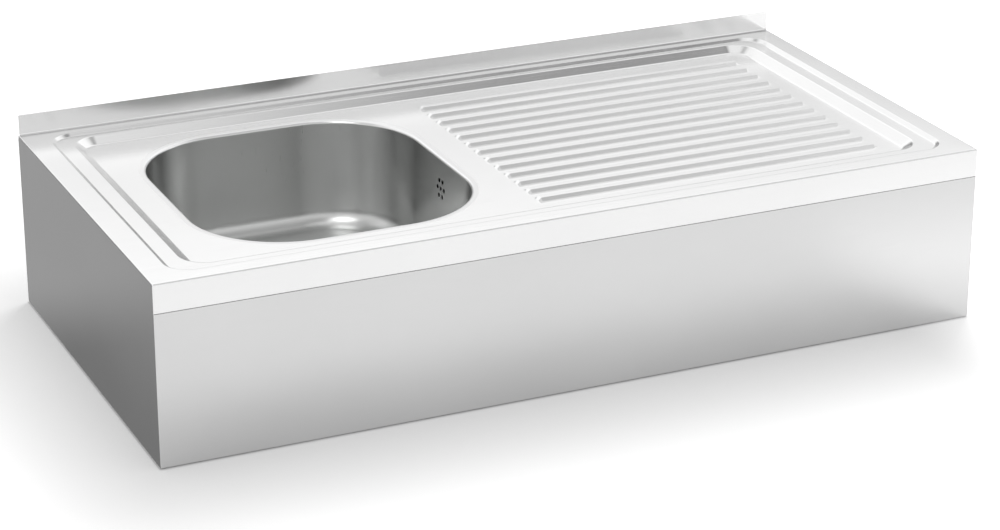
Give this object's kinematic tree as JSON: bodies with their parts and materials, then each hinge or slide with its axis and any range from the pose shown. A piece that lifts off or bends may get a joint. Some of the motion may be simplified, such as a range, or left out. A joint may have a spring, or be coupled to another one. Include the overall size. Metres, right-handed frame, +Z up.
{
  "type": "kitchen sink with drainboard",
  "caption": "Sheet-steel kitchen sink with a rounded-square bowl on the left, a ribbed drainer on the right, a pressed rim, a low upstand and a skirt all round.",
  "frame": {"origin": "middle of the footprint, on the plane the skirt stands on", "axes": "+X along the length towards the drainer's right end, +Y towards the upstand and the wall, +Z up"},
  "size_m": [1.2, 0.6, 0.283],
  "materials": {
    "worktop_steel": "fine satin-brushed stainless sheet, brushed left to right",
    "bowl_steel": "drawn stainless, satin polished round the walls",
    "panel_steel": "satin-brushed stainless sheet, brushed left to right",
    "galvanised_steel": "galvanised sheet with a faint spangle",
    "zinc_fasteners": "bright zinc plating",
    "board": "raw pressed-wood board with flakes",
    "damping_rubber": "matt bitumen-filled damping pad",
    "gasket_rubber": "smooth moulded rubber",
    "waste_plastic": "moulded white polypropylene",
    "hose_plastic": "ribbed grey-white flexible plastic",
    "waste_steel": "spun and polished stainless",
    "polished_steel": "bright polished stainless",
    "brass": "turned brass"
  },
  "bodies": {
    "root": {"worktop": "worktop_steel", "bowl": "bowl_steel", "front_apron": "panel_steel", "left_side_panel": "panel_steel", "right_side_panel": "panel_steel", "rear_panel": "panel_steel", "corner_plates": "galvanised_steel", "corner_rivets": "galvanised_steel", "seam_screws": "zinc_fasteners", "seam_nuts": "zinc_fasteners", "drainer_board": "board", "left_rail": "galvanised_steel", "right_rail": "galvanised_steel", "rail_screws": "zinc_fasteners", "sound_pads": "damping_rubber", "overflow_gasket": "gasket_rubber", "overflow_housing": "waste_plastic", "overflow_studs": "zinc_fasteners", "overflow_nuts": "zinc_fasteners", "overflow_hose": "hose_plastic", "upper_hose_clip": "zinc_fasteners", "lower_hose_clip": "zinc_fasteners", "waste_flange": "waste_steel", "flange_gasket": "gasket_rubber", "body_gasket": "gasket_rubber", "waste_body": "waste_plastic", "waste_insert": "brass", "waste_screw": "zinc_fasteners", "earth_tab": "galvanised_steel", "earth_bolt": "zinc_fasteners", "earth_nut": "brass"},
    "basket": {"strainer_basket": "waste_steel"},
    "plug": {"plug_stem": "polished_steel", "plug_knob": "polished_steel", "plug_seal": "gasket_rubber", "seal_nut": "zinc_fasteners"}
  },
  "joints": [
    {"name": "basket_lift", "type": "slide", "parent": "root", "child": "basket", "axis": [0, 0, 1], "range_m": [0, 0.26]},
    {"name": "plug_pull", "type": "slide", "parent": "basket", "child": "plug", "axis": [0, 0, 1], "range_m": [0, 0.005]}
  ]
}
